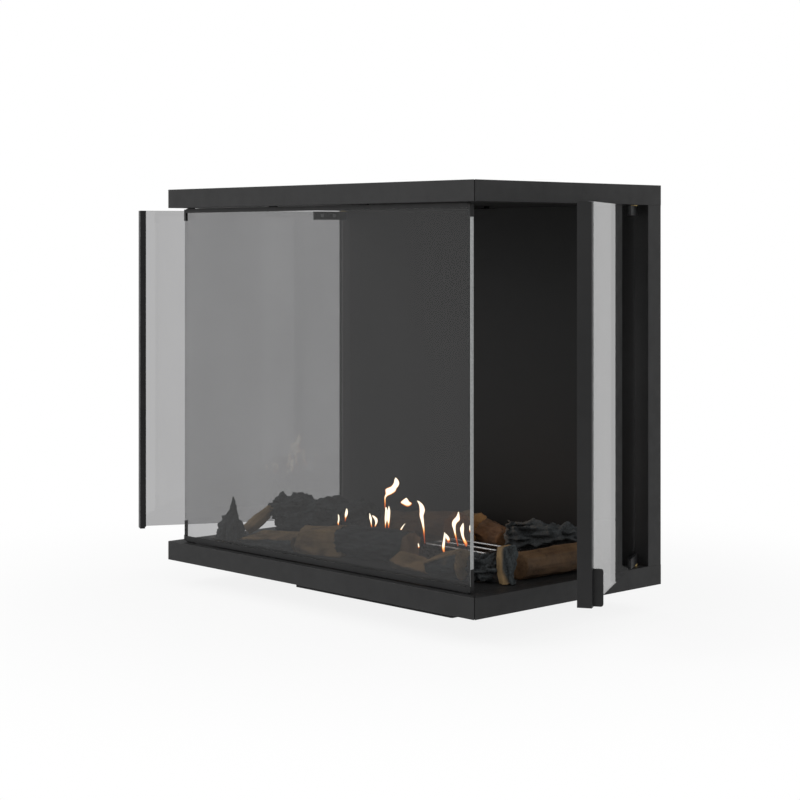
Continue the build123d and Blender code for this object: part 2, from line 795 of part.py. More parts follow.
# Front row, from left to right
log(
    "log_jagged_stump",
    [
        shape((-0.913, -0.75, 0.0), (-0.876, -0.75, 1.33), girth=1.15, taper=0.14, sides=8, phase=0.6),
        shape((-0.94, -0.75, 0.0), (-0.946, -0.75, 0.97), girth=0.8, taper=0.2, sides=7, phase=2.0),
    ],
)
front_split = shape((-0.73, -0.74, 0.16), (-0.355, -0.70, 0.28), girth=1.0, sides=9, phase=1.0)
log(
    "log_front_left_split",
    [front_split],
    [split_plane(front_split["start"], front_split["end"], (-0.08, -0.18, 1), 0.2)],
)
front_block = shape((-0.35, -0.70, 0.25), (-0.10, -0.60, 0.36), girth=1.0, sides=7, rough=0.08, phase=3.0)
log(
    "log_front_block",
    [front_block],
    [split_plane(front_block["start"], front_block["end"], (0.45, -1, 0.25), 0.3)],
)
log(
    "log_centre_bark",
    [shape((-0.13, -0.555, 0.45), (0.285, -0.43, 0.47), girth=0.98, rough=0.13, phase=0.4)],
)
low_split = shape((0.30, -0.64, 0.2), (0.55, -0.66, 0.16), girth=0.66, sides=8, phase=5.0)
log(
    "log_low_split",
    [low_split],
    [split_plane(low_split["start"], low_split["end"], (0.1, -0.5, 1), 0.12)],
)
right_split = shape((0.60, -0.71, 0.38), (0.785, -0.68, 0.40), girth=0.95, sides=8, phase=2.2)
log(
    "log_right_split",
    [right_split],
    [split_plane(right_split["start"], right_split["end"], (-0.3, -0.25, 1), 0.3)],
)
log(
    "log_grey_chunk",
    [shape((0.815, -0.70, 0.34), (0.90, -0.53, 0.37), girth=0.84, sides=8, rough=0.14, phase=1.3)],
)
log(
    "log_upright_end",
    [shape((0.995, -0.54, 0.0), (0.985, -0.55, 1.03), girth=0.54, taper=0.92, sides=8, phase=4.0)],
)

# Right side and middle
log(
    "log_right_long",
    [shape((0.95, -0.33, 0.38), (0.965, 0.62, 0.40), girth=0.78, taper=1.05, rough=0.07, phase=0.9)],
)
log(
    "log_small_dark",
    [shape((0.675, -0.22, 0.2), (0.745, 0.0, 0.23), girth=0.45, sides=7, rough=0.15, phase=2.7)],
)

# Back row, from left to right
log(
    "log_rear_left_bark",
    [shape((-0.94, -0.09, 0.64), (-0.42, 0.31, 0.58), girth=1.28, taper=0.95, rough=0.14, phase=1.8)],
)
log(
    "log_tan_stick",
    [shape((-0.985, -0.44, 0.16), (-0.90, -0.22, 0.86), girth=0.4, sides=7, rough=0.08, phase=0.3)],
)
log(
    "log_thin_split",
    [shape((-0.51, -0.44, 0.28), (-0.165, -0.38, 0.48), girth=0.66, sides=7, rough=0.08, phase=2.5)],
)
log(
    "log_back_brown",
    [shape((-0.365, 0.42, 0.44), (0.21, 0.30, 0.64), girth=0.88, taper=1.38, rough=0.07, phase=3.3)],
)
log(
    "log_rear_split",
    [shape((0.0, 0.78, 0.48), (0.15, 0.72, 0.53), girth=1.0, sides=7, rough=0.1, phase=0.2)],
)
log(
    "log_rear_brown",
    [shape((0.20, 0.70, 0.5), (0.41, 0.60, 0.37), girth=0.8, sides=8, phase=1.1)],
)
log(
    "log_right_bark",
    [shape((0.57, 0.27, 0.86), (0.87, 0.66, 0.72), girth=0.82, rough=0.15, phase=2.1)],
)
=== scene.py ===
# %% [markdown]
# # A three-sided gas fire with its side doors open
# The real object is a built-in fire: a black steel frame, one fixed pane of
# tinted glass in front, and a glass door on each side that swings on pins.
# Inside lies a bed of moulded logs over a burner, with small flames.
# The solids come from CAD, so this script only dresses them: it gives every
# piece its finish, and it carves the logs, which CAD draws as rough billets.

# %% Load the solids
import bpy
import bmesh
import math
import random
from mathutils import Matrix, Vector, noise


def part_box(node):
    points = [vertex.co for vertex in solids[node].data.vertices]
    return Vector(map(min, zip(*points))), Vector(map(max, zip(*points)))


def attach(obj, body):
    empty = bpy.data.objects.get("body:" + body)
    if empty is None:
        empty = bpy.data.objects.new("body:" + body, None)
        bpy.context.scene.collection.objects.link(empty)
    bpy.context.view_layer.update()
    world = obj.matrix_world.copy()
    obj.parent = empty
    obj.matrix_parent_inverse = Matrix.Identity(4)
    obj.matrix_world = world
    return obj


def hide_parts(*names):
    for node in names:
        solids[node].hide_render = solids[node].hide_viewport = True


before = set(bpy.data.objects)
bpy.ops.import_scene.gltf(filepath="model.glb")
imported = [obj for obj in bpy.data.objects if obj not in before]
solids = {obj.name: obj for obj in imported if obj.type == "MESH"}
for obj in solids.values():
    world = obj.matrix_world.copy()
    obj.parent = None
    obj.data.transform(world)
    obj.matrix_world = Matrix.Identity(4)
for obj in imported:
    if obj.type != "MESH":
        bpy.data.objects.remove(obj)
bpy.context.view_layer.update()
print("solids loaded:", len(solids))

# %% [markdown]
# ## The camera
# The photograph looks at one front corner from far off, with every upright
# standing straight. That needs a level camera with a long lens, moved up and
# down by its shift instead of being tilted, as an architect's camera is.

# %% Set up the camera
def new_object(name, data):
    """Put a mesh, a lamp or a camera in the scene under a name."""
    thing = bpy.data.objects.new(name, data)
    bpy.context.scene.collection.objects.link(thing)
    return thing


view_turn = math.radians(46.44)
lens = bpy.data.cameras.new("studio_lens")
lens.lens = 85.76
lens.sensor_width = 36.0
lens.shift_y = -0.195
camera = new_object("studio_camera", lens)
camera.location = (2.5923, -2.4786, 0.6619)
camera.rotation_euler = (math.radians(90), 0, view_turn)
bpy.context.scene.camera = camera
bpy.context.scene.view_settings.view_transform = "Standard"
print("camera stands", round(camera.location.length, 2), "m from the fire")

# %% [markdown]
# ## Short names for node work
# A finish is a tree of nodes. These helpers add a node, join two of them, and
# build the few parts that most finishes share: a mottle of soft blotches, a
# range of colours, a range of values, and a relief that catches the light.

# %% Helpers for finishes
def start_finish(name):
    """Make a new finish and return it with its main shader."""
    finish = bpy.data.materials.new(name)
    finish.use_nodes = True
    return finish, finish.node_tree.nodes["Principled BSDF"]


def add(finish, kind, **settings):
    """Add a node to a finish."""
    node = finish.node_tree.nodes.new(kind)
    for setting, value in settings.items():
        setattr(node, setting, value)
    return node


def join(finish, source, target):
    """Join an output to an input."""
    finish.node_tree.links.new(source, target)


def mottle(finish, blotch, stretch=(1, 1, 1), detail=4.0):
    """Return soft blotches of a size in metres, stretched along the axes."""
    place = add(finish, "ShaderNodeTexCoord")
    size = add(finish, "ShaderNodeMapping")
    size.inputs["Scale"].default_value = [1 / (blotch * s) for s in stretch]
    cloud = add(finish, "ShaderNodeTexNoise")
    cloud.inputs["Scale"].default_value = 1.0
    cloud.inputs["Detail"].default_value = detail
    join(finish, place.outputs["Object"], size.inputs["Vector"])
    join(finish, size.outputs["Vector"], cloud.inputs["Vector"])
    return cloud.outputs["Fac"]


def shades(finish, amount, *colours, low=0.3, high=0.7):
    """Return a blend through colours as an amount rises from low to high."""
    ramp = add(finish, "ShaderNodeValToRGB")
    stops = ramp.color_ramp.elements
    while len(stops) < len(colours):
        stops.new(0.5)
    for index, colour in enumerate(colours):
        stops[index].position = low + (high - low) * index / (len(colours) - 1)
        stops[index].color = (*colour, 1)
    join(finish, amount, ramp.inputs["Fac"])
    return ramp.outputs["Color"]


def between(finish, amount, low, high):
    """Return an amount fitted between two values."""
    fit = add(finish, "ShaderNodeMapRange")
    fit.inputs["From Min"].default_value = 0.3
    fit.inputs["From Max"].default_value = 0.7
    fit.inputs["To Min"].default_value = low
    fit.inputs["To Max"].default_value = high
    join(finish, amount, fit.inputs["Value"])
    return fit.outputs["Result"]


def relief(finish, height, depth, strength=1.0, under=None):
    """Return normals pressed by a height, with a depth in metres."""
    bump = add(finish, "ShaderNodeBump")
    bump.inputs["Strength"].default_value = strength
    bump.inputs["Distance"].default_value = depth
    join(finish, height, bump.inputs["Height"])
    if under is not None:
        join(finish, under, bump.inputs["Normal"])
    return bump.outputs["Normal"]


def soft_edges(finish, radius):
    """Return normals that round every edge a little, as paint and tools do."""
    bevel = add(finish, "ShaderNodeBevel", samples=4)
    bevel.inputs["Radius"].default_value = radius
    return bevel.outputs["Normal"]


def near_edge(finish, radius):
    """Return an amount that is high only near an edge."""
    rounded = soft_edges(finish, radius)
    flat = add(finish, "ShaderNodeNewGeometry")
    match = add(finish, "ShaderNodeVectorMath", operation="DOT_PRODUCT")
    join(finish, rounded, match.inputs[0])
    join(finish, flat.outputs["Normal"], match.inputs[1])
    edge = add(finish, "ShaderNodeMath", operation="SUBTRACT", use_clamp=True)
    edge.inputs[0].default_value = 1.0
    join(finish, match.outputs["Value"], edge.inputs[1])
    return edge.outputs["Value"]


def mix_colours(finish, amount, first, second):
    """Return a blend of two colour outputs."""
    mix = add(finish, "ShaderNodeMix", data_type="RGBA")
    join(finish, amount, mix.inputs["Factor"])
    join(finish, first, mix.inputs["A"])
    join(finish, second, mix.inputs["B"])
    return mix.outputs["Result"]


finishes = {}

# %% [markdown]
# ## Powder coat
# The frame, the stiles and the strips are steel with a baked black powder.
# Up close it has an orange-peel grain under a millimetre wide and a satin
# sheen. Near every edge the colour is painted paler, a painted highlight
# where the edges catch the light. A noise gives the grain, and the bevel
# node finds the edges, so the mesh itself stays as CAD made it.

# %% Powder coat for the frame, strips and stiles
def powder_coat(name, dark, pale, sheen):
    """Make a satin powder coat."""
    finish, shader = start_finish(name)
    blotches = mottle(finish, 0.09, detail=6.0)
    body = shades(finish, blotches, dark, pale)
    # Painted highlight: the colour is made paler near every edge, where the edges catch the light.
    highlight_share = add(finish, "ShaderNodeMath", operation="MULTIPLY", use_clamp=True)
    highlight_share.inputs[1].default_value = 1.6
    join(finish, near_edge(finish, 0.0009), highlight_share.inputs[0])
    painted_highlight = shades(finish, mottle(finish, 0.004), pale, [3 * c for c in pale])
    join(finish, mix_colours(finish, highlight_share.outputs["Value"], body, painted_highlight), shader.inputs["Base Color"])
    satin = between(finish, mottle(finish, 0.02), sheen - 0.05, sheen + 0.07)
    join(finish, satin, shader.inputs["Roughness"])
    grain = mottle(finish, 0.0009, detail=2.0)
    pressed = relief(finish, grain, 0.00006, 0.6, soft_edges(finish, 0.0006))
    join(finish, pressed, shader.inputs["Normal"])
    shader.inputs["Specular IOR Level"].default_value = 0.24
    finishes[name] = finish


powder_coat("frame_black", (0.013, 0.013, 0.0133), (0.018, 0.018, 0.0183), 0.5)
powder_coat("strip_black", (0.012, 0.012, 0.0123), (0.016, 0.016, 0.0163), 0.46)
powder_coat("door_black", (0.009, 0.009, 0.0093), (0.013, 0.013, 0.0133), 0.5)
powder_coat("shoe_steel", (0.011, 0.011, 0.0115), (0.016, 0.016, 0.0165), 0.4)

# %% [markdown]
# ## Stove paint and the dark liner
# Floor, ceiling and base are sheet steel with a matt heat paint that dries
# in faint clouds, with some ash dust on it. The back liner is smoother and
# darker, so the glow of the flames shows in it as a soft patch.

# %% Stove paint, and the liner behind the fire
def stove_paint(name, dark, pale, rough):
    """Make a matt heat paint with a little dust."""
    finish, shader = start_finish(name)
    clouds = mottle(finish, 0.16, detail=8.0)
    specks = mottle(finish, 0.0035, detail=3.0)
    paint = shades(finish, clouds, dark, pale)
    dusty = shades(finish, specks, dark, pale, [1.6 * c for c in pale], low=0.45, high=0.8)
    join(finish, mix_colours(finish, clouds, paint, dusty), shader.inputs["Base Color"])
    join(finish, between(finish, specks, rough - 0.08, rough + 0.08), shader.inputs["Roughness"])
    pressed = relief(finish, mottle(finish, 0.0014, detail=3.0), 0.00008, 0.7, soft_edges(finish, 0.0005))
    join(finish, pressed, shader.inputs["Normal"])
    shader.inputs["Specular IOR Level"].default_value = 0.25
    finishes[name] = finish


stove_paint("sheet_black", (0.012, 0.012, 0.0122), (0.018, 0.018, 0.0182), 0.62)
stove_paint("liner_black", (0.0105, 0.0105, 0.0104), (0.0135, 0.0133, 0.013), 0.5)

# %% [markdown]
# ## Bare metals
# The flue collars, screws, rods, bushes, pipes and valve are bare metal. A
# drawn or turned metal has fine lines along one direction, so the same
# mottle is stretched along that axis, and it changes shine as well as shade.

# %% Bare metals
def bare_metal(name, dark, pale, rough, along=(1, 1, 1), grain=0.0012):
    """Make a metal with drawn lines along an axis."""
    finish, shader = start_finish(name)
    lines = mottle(finish, grain, along, detail=3.0)
    stain = mottle(finish, 0.03, detail=5.0)
    metal = shades(finish, lines, dark, pale)
    aged = shades(finish, stain, [0.6 * c for c in dark], pale)
    join(finish, mix_colours(finish, stain, metal, aged), shader.inputs["Base Color"])
    join(finish, between(finish, lines, rough - 0.08, rough + 0.1), shader.inputs["Roughness"])
    pressed = relief(finish, lines, 0.00004, 0.5, soft_edges(finish, 0.0004))
    join(finish, pressed, shader.inputs["Normal"])
    shader.inputs["Metallic"].default_value = 1.0
    finishes[name] = finish


bare_metal("flue_steel", (0.42, 0.42, 0.43), (0.6, 0.6, 0.61), 0.34, (1, 1, 14))
bare_metal("screw_steel", (0.12, 0.12, 0.125), (0.2, 0.2, 0.205), 0.4)
bare_metal("rod_steel", (0.5, 0.5, 0.5), (0.72, 0.72, 0.71), 0.22, (18, 1, 1))
bare_metal("burner_steel", (0.16, 0.15, 0.14), (0.3, 0.28, 0.26), 0.45, (8, 1, 1))
bare_metal("valve_alloy", (0.36, 0.36, 0.37), (0.5, 0.5, 0.51), 0.5)
bare_metal("pipe_brass", (0.42, 0.3, 0.12), (0.62, 0.46, 0.2), 0.3, (1, 10, 1))
bare_metal("bush_brass", (0.4, 0.29, 0.12), (0.6, 0.45, 0.2), 0.32, (1, 1, 6), 0.0006)

# %% [markdown]
# ## Board, rope seal and moulded plastic
# Behind the liner is a pressed fibre board, the door's edge carries a flat
# woven rope, and the control box is moulded plastic with a fine spark grain.
# The weave is two sets of waves that cross, which is what a weave is.

# %% Insulation board
board, board_shader = start_finish("insulation")
fibres = mottle(board, 0.002, (6, 1, 2), detail=6.0)
join(board, shades(board, fibres, (0.42, 0.38, 0.31), (0.6, 0.56, 0.48)), board_shader.inputs["Base Color"])
join(board, relief(board, fibres, 0.0006), board_shader.inputs["Normal"])
board_shader.inputs["Roughness"].default_value = 0.95
finishes["insulation"] = board


# %% Woven rope seal
def weave_wave(finish, pitch, direction):
    """Return the waves of one set of threads."""
    place = add(finish, "ShaderNodeTexCoord")
    wave = add(finish, "ShaderNodeTexWave", bands_direction=direction)
    wave.inputs["Scale"].default_value = 1 / pitch / 3
    wave.inputs["Distortion"].default_value = 0.6
    join(finish, place.outputs["Object"], wave.inputs["Vector"])
    return wave.outputs["Fac"]


rope, rope_shader = start_finish("seal_rope")
cross = add(rope, "ShaderNodeMath", operation="MULTIPLY")
join(rope, weave_wave(rope, 0.0016, "Z"), cross.inputs[0])
join(rope, weave_wave(rope, 0.0016, "DIAGONAL"), cross.inputs[1])
threads = cross.outputs["Value"]
sooty = shades(rope, threads, (0.018, 0.018, 0.018), (0.06, 0.058, 0.055))
join(rope, sooty, rope_shader.inputs["Base Color"])
join(rope, relief(rope, threads, 0.0005), rope_shader.inputs["Normal"])
rope_shader.inputs["Roughness"].default_value = 0.9
finishes["seal_rope"] = rope

# %% Moulded plastic
plastic, plastic_shader = start_finish("control_plastic")
spark = mottle(plastic, 0.0007, detail=2.0)
moulded = shades(plastic, mottle(plastic, 0.05), (0.018, 0.018, 0.019), (0.028, 0.028, 0.029))
join(plastic, moulded, plastic_shader.inputs["Base Color"])
join(plastic, between(plastic, spark, 0.42, 0.58), plastic_shader.inputs["Roughness"])
pressed = relief(plastic, spark, 0.00008, 0.8, soft_edges(plastic, 0.0006))
join(plastic, pressed, plastic_shader.inputs["Normal"])
finishes["control_plastic"] = plastic

# %% [markdown]
# ## Tinted glass
# The panes are grey tinted glass with polished faces. White behind one pane
# shows as mid grey, and behind two panes as dark grey, so each face lets
# about two thirds of the light through. The faces also mirror the room, more
# so at a flat angle. Refraction through a thin flat pane moves nothing, so a
# clear shader mixed with a mirror one is enough, and it keeps the logs free
# of noise. The ground edges are seen as a paler line, so a second shader
# takes over where the surface doesn't face the way the pane faces.

# %% Glass for the pane and the doors
def pane_facing(name):
    """Return the direction in which a pane's largest face looks."""
    return max(solids[name].data.polygons, key=lambda face: face.area).normal.copy()


def tinted_glass(name, node, clear):
    """Make tinted glass for one pane, with ground edges."""
    finish, unused = start_finish(name)
    finish.node_tree.nodes.remove(unused)
    smears = mottle(finish, 0.12, (1, 1, 2), detail=5.0)
    see_through = add(finish, "ShaderNodeBsdfTransparent")
    tint = shades(finish, smears, [c - 0.008 for c in clear], [c + 0.008 for c in clear])
    join(finish, tint, see_through.inputs["Color"])
    mirror = add(finish, "ShaderNodeBsdfAnisotropic")
    mirror.inputs["Color"].default_value = (0.9, 0.9, 0.9, 1)
    join(finish, between(finish, smears, 0.0, 0.03), mirror.inputs["Roughness"])
    angle = add(finish, "ShaderNodeLayerWeight")
    steep = add(finish, "ShaderNodeMath", operation="POWER")
    steep.inputs[1].default_value = 5.0
    join(finish, angle.outputs["Facing"], steep.inputs[0])
    shine = add(finish, "ShaderNodeMath", operation="MULTIPLY_ADD", use_clamp=True)
    shine.inputs[1].default_value = 0.97
    shine.inputs[2].default_value = 0.03
    join(finish, steep.outputs["Value"], shine.inputs[0])
    face = add(finish, "ShaderNodeMixShader")
    join(finish, shine.outputs["Value"], face.inputs["Fac"])
    join(finish, see_through.outputs["BSDF"], face.inputs[1])
    join(finish, mirror.outputs["BSDF"], face.inputs[2])
    ground = add(finish, "ShaderNodeBsdfPrincipled")
    frosted = shades(finish, mottle(finish, 0.003), (0.36, 0.37, 0.37), (0.48, 0.49, 0.49))
    join(finish, frosted, ground.inputs["Base Color"])
    ground.inputs["Roughness"].default_value = 0.35
    place = add(finish, "ShaderNodeTexCoord")
    flat = add(finish, "ShaderNodeVectorMath", operation="DOT_PRODUCT")
    flat.inputs[1].default_value = pane_facing(node)
    join(finish, place.outputs["Normal"], flat.inputs[0])
    size = add(finish, "ShaderNodeMath", operation="ABSOLUTE")
    join(finish, flat.outputs["Value"], size.inputs[0])
    edge = add(finish, "ShaderNodeMath", operation="LESS_THAN")
    edge.inputs[1].default_value = 0.9
    join(finish, size.outputs["Value"], edge.inputs[0])
    side = add(finish, "ShaderNodeNewGeometry")
    outside = add(finish, "ShaderNodeMath", operation="SUBTRACT", use_clamp=True)
    join(finish, edge.outputs["Value"], outside.inputs[0])
    join(finish, side.outputs["Backfacing"], outside.inputs[1])
    whole = add(finish, "ShaderNodeMixShader")
    join(finish, outside.outputs["Value"], whole.inputs["Fac"])
    join(finish, face.outputs["Shader"], whole.inputs[1])
    join(finish, ground.outputs["BSDF"], whole.inputs[2])
    join(finish, whole.outputs["Shader"], finish.node_tree.nodes["Material Output"].inputs["Surface"])
    return finish


pane_glass = {
    "front_pane": tinted_glass("pane_glass", "front_pane", (0.685, 0.685, 0.687)),
    "left_door_glass": tinted_glass("left_glass", "left_door_glass", (0.66, 0.66, 0.662)),
    "right_door_glass": tinted_glass("right_glass", "right_door_glass", (0.66, 0.66, 0.662)),
}
print("front pane faces", [round(x, 2) for x in pane_facing("front_pane")])

# %% [markdown]
# ## Bark and split wood
# The logs are moulded and painted stoneware. Bark is charcoal with ashy blue
# ridges, and split faces are tan with long grain. One finish does both: the
# carving below leaves a value called bark on every point, and the finish
# reads it. A second value called ridge is high on the crests, where a brush
# of ash catches.

# %% Finish for the logs
def log_finish(name, hollow, crest, heart, sapwood):
    """Make painted bark and split wood."""
    finish, shader = start_finish(name)
    bark = add(finish, "ShaderNodeAttribute", attribute_name="bark")
    ridge = add(finish, "ShaderNodeAttribute", attribute_name="ridge")
    grain = add(finish, "ShaderNodeAttribute", attribute_name="grain")
    flecks = mottle(finish, 0.0028, detail=6.0)
    blotches = mottle(finish, 0.03, detail=5.0)
    half_way = [0.55 * c for c in crest]
    bark_colour = shades(
        finish, ridge.outputs["Fac"], hollow, half_way, crest, low=0.15, high=0.95,
    )
    ashy = shades(finish, flecks, hollow, crest, low=0.35, high=0.75)
    bark_colour = mix_colours(finish, blotches, bark_colour, ashy)
    wood_colour = shades(finish, grain.outputs["Fac"], heart, sapwood, low=0.1, high=0.9)
    scorched = shades(finish, blotches, [0.35 * c for c in heart], sapwood, low=0.35, high=0.62)
    wood_colour = mix_colours(finish, flecks, wood_colour, scorched)
    painted = mix_colours(finish, bark.outputs["Fac"], wood_colour, bark_colour)
    join(finish, painted, shader.inputs["Base Color"])
    join(finish, between(finish, flecks, 0.72, 0.95), shader.inputs["Roughness"])
    coarse = relief(finish, flecks, 0.0009, 0.8)
    gritty = relief(finish, mottle(finish, 0.0011, detail=4.0), 0.0004, 0.6, coarse)
    join(finish, gritty, shader.inputs["Normal"])
    shader.inputs["Specular IOR Level"].default_value = 0.3
    finishes[name] = finish


log_finish(
    "log_bark_dark", (0.008, 0.008, 0.008), (0.075, 0.085, 0.09),
    (0.1, 0.07, 0.045), (0.2, 0.15, 0.1),
)
log_finish(
    "log_bark_grey", (0.006, 0.006, 0.006), (0.1, 0.11, 0.115),
    (0.1, 0.07, 0.045), (0.2, 0.15, 0.1),
)
log_finish(
    "log_wood_tan", (0.008, 0.008, 0.008), (0.085, 0.1, 0.105),
    (0.19, 0.12, 0.06), (0.37, 0.25, 0.125),
)
log_finish(
    "log_wood_brown", (0.01, 0.009, 0.008), (0.08, 0.08, 0.08),
    (0.08, 0.04, 0.019), (0.17, 0.1, 0.048),
)

# %% [markdown]
# ## Carving a log
# CAD gives each log as a faceted billet in its right place. To carve it, a
# copy is turned into an even skin by a voxel remesh, and then each point is
# moved along its normal: by slow noise for lumps, by a second noise for the
# knobs of some logs, and by sharp ridged noise drawn out along the log for
# the furrows of the bark. Split faces only get long shallow grain. The copy
# rides where the billet was, so it still rests on the floor and on its
# neighbours.

# %% Noise and an even skin
floor_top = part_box("floor_plate")[1].z
skin_size = 0.0026
weld_reach = 0.00002


def even_skin(node):
    """Return a copy of a billet's mesh, welded and turned into an even skin."""
    skin = new_object(node + "_skin", solids[node].data.copy())
    weld = bmesh.new()
    weld.from_mesh(skin.data)
    bmesh.ops.remove_doubles(weld, verts=weld.verts, dist=weld_reach)
    weld.to_mesh(skin.data)
    weld.free()
    remesh = skin.modifiers.new("even_skin", "REMESH")
    remesh.mode = "VOXEL"
    remesh.voxel_size = skin_size
    ready = bpy.context.evaluated_depsgraph_get()
    mesh = bpy.data.meshes.new_from_object(skin.evaluated_get(ready))
    bpy.data.objects.remove(skin)
    return mesh


def long_axis(mesh):
    """Return the middle and the long direction of a mesh."""
    points = [v.co for v in mesh.vertices][::7]
    middle = sum(points, Vector()) / len(points)
    axis = Vector((1.0, 0.6, 0.4)).normalized()
    for step in range(30):
        axis = sum(((p - middle) * (p - middle).dot(axis) for p in points), Vector()).normalized()
    return middle, axis


def ridged(point, size, octaves=3):
    """Return sharp ridges from 0 to 1."""
    value, weight, total = 0.0, 1.0, 0.0
    place = point / size
    for octave in range(octaves):
        value += weight * (1 - abs(noise.noise(place)) * 2.2)
        total += weight
        place = place * 2.1
        weight *= 0.5
    return max(0.0, min(1.0, value / total))


def smooth_step(value, low, high):
    """Return 0 below low, 1 above high, and a soft rise between them."""
    share = max(0.0, min(1.0, (value - low) / (high - low)))
    return share * share * (3 - 2 * share)


def break_top(place, middle, share):
    """Draw the top of a stump into a tall spike with a lower one beside it."""
    lower_spike = smooth_step(middle.x - 0.004 - place.x, 0.0, 0.006)
    place.z -= 0.026 * lower_spike * smooth_step(share, 0.45, 1.0)
    spike = middle.x + (-0.017 if lower_spike > 0.5 else 0.007)
    pull = 0.35 * smooth_step(share, 0.3, 0.8) + 0.5 * smooth_step(share, 0.8, 1.0)
    place.x += (spike - place.x) * pull
    place.y += (middle.y - place.y) * pull


print("firebox floor at", round(floor_top, 4), "m, skin in steps of", skin_size, "m")

# %% [markdown]
# Each log names what sets it apart. split and barked say where a split face
# and a bark face look. furrow, lump and knobs are depths in metres, twist
# winds the furrows round the log, wooden thins the bark, and ends at 0
# keeps the bark over both ends.

# %% The log carver
def carve(node, split=None, barked=None, furrow=0.004, lump=0.003, knobs=0.0,
          twist=0.0, wooden=0.0, ends=1.0, spiked=False):
    """Replace a CAD billet with a carved log."""
    mesh = even_skin(node)
    middle, axis = long_axis(mesh)
    facing = Vector(split).normalized() if split else None
    shift = Vector((len(node) * 0.37, len(node) * 0.11, 0.5))
    values = {"bark": [], "ridge": [], "grain": []}
    moved = []
    for vertex in mesh.vertices:
        offset = vertex.co - middle
        along = offset.dot(axis)
        round_it = offset - axis * along
        turned = Matrix.Rotation(twist * along, 3, axis) @ round_it
        drawn = turned + axis * along * 0.22 + shift
        ridge = ridged(drawn, 0.013)
        slow = noise.noise((offset + shift) / 0.03)
        fine = noise.noise((turned + axis * along * 0.05 + shift) / 0.0035)
        knob = noise.noise((offset + shift) / 0.016)
        end_cut = ends * smooth_step(abs(vertex.normal.dot(axis)), 0.75, 0.92)
        split_cut = smooth_step(vertex.normal.dot(facing), 0.6, 0.85) if facing else 0.0
        bark = (1 - max(end_cut, split_cut)) * (1 - wooden)
        if barked:
            side = offset.normalized().dot(Vector(barked).normalized())
            bark = smooth_step(side + 0.4 * slow, -0.1, 0.15)
        depth = bark * (ridge - 0.75) * furrow * 2
        depth += knobs * (smooth_step(knob, -0.1, 0.5) - 0.5)
        depth += slow * lump * (1 - 0.6 * max(split_cut, end_cut)) + (1 - bark) * fine * 0.0009
        moved.append(vertex.co + vertex.normal * depth)
        values["bark"].append(bark)
        values["ridge"].append(ridge)
        values["grain"].append(0.5 + 0.5 * fine)
    low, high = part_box(node)
    for vertex, place in zip(mesh.vertices, moved):
        if spiked:
            break_top(place, middle, (place.z - low.z) / (high.z - low.z))
        place.z = max(place.z, floor_top + 0.0002)
        vertex.co = place
    for name, numbers in values.items():
        layer = mesh.attributes.new(name, "FLOAT", "POINT")
        layer.data.foreach_set("value", numbers)
    slot = solids[node].data.materials[0].name
    mesh.materials.clear()
    mesh.materials.append(finishes[slot])
    mesh.shade_smooth()
    carved = new_object(node + "_carved", mesh)
    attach(carved, "firebox")
    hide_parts(node)
    print(node, "carved with", len(mesh.vertices), "points")


# %% [markdown]
# ## The front row of logs
# From left to right: a jagged stump that stands up like a broken tooth, a
# split log and a tan block whose sawn faces look at the room, a charred log
# in the middle, two more split pieces, a grey chunk and a short upright end.

# %% Carve the front row
carve("log_jagged_stump", furrow=0.0065, lump=0.005, spiked=True, knobs=0.005)
carve("log_front_left_split", split=(-0.08, -0.18, 1), furrow=0.0045)
carve("log_front_block", split=(0.3, -0.6, 0.75), furrow=0.003, wooden=0.7)
carve("log_centre_bark", furrow=0.006, lump=0.004, twist=3.0)
carve("log_low_split", split=(0.1, -0.5, 1), furrow=0.004, wooden=0.3)
carve("log_right_split", split=(-0.3, -0.25, 1), furrow=0.005)
carve("log_grey_chunk", furrow=0.008, lump=0.006, knobs=0.006, ends=0.0)
carve("log_upright_end", furrow=0.006, lump=0.006, barked=(1, 0.35, 0))

# %% [markdown]
# ## The back row of logs
# These are larger. The left one is knobbly, the middle one is a smooth brown
# trunk, and the right one is gnarled, with deep grey furrows.

# %% Carve the back row
carve("log_rear_left_bark", furrow=0.006, lump=0.009, twist=4.0, knobs=0.007, ends=0.0)
carve("log_tan_stick", furrow=0.002, wooden=0.8)
carve("log_thin_split", split=(0, -0.4, 1), furrow=0.003, wooden=0.6)
carve("log_back_brown", furrow=0.004, lump=0.004, wooden=0.55)
carve("log_rear_split", split=(0.6, -0.8, 0.3), furrow=0.004, lump=0.005, wooden=0.6)
carve("log_rear_brown", furrow=0.004, lump=0.005, wooden=0.6)
carve("log_right_bark", furrow=0.009, lump=0.006, twist=6.0, knobs=0.006, ends=0.0)
carve("log_right_long", split=(0.3, 0, 1), furrow=0.004, wooden=0.75)
carve("log_small_dark", furrow=0.005, lump=0.004)

# %% [markdown]
# ## The bed of granules
# The burner tray is filled with loose lava chips, and those under a flame
# glow. CAD has a plain block for the bed, so chips are laid over it: each is
# a small ball with its points pushed in and out. The random numbers start
# from a fixed seed, so every run lays the same bed.

# %% Granule and ember finishes
def chip_finish(name, glow):
    """Make lava stone, glowing or not."""
    finish, shader = start_finish(name)
    pores = mottle(finish, 0.0022, detail=5.0)
    stone = shades(finish, pores, (0.012, 0.011, 0.011), (0.07, 0.06, 0.055))
    join(finish, stone, shader.inputs["Base Color"])
    join(finish, relief(finish, pores, 0.0008), shader.inputs["Normal"])
    shader.inputs["Roughness"].default_value = 0.92
    if glow:
        heat = shades(
            finish, mottle(finish, 0.006),
            (0.0, 0.0, 0.0), (0.9, 0.1, 0.01), (1.0, 0.42, 0.08), low=0.35, high=0.75,
        )
        join(finish, heat, shader.inputs["Emission Color"])
        shader.inputs["Emission Strength"].default_value = glow
    return finish


finishes["ember_granules"] = chip_finish("ember_granules", 0.0)
glowing = chip_finish("glowing_ember", 1.6)
bed_low, bed_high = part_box("ember_bed")


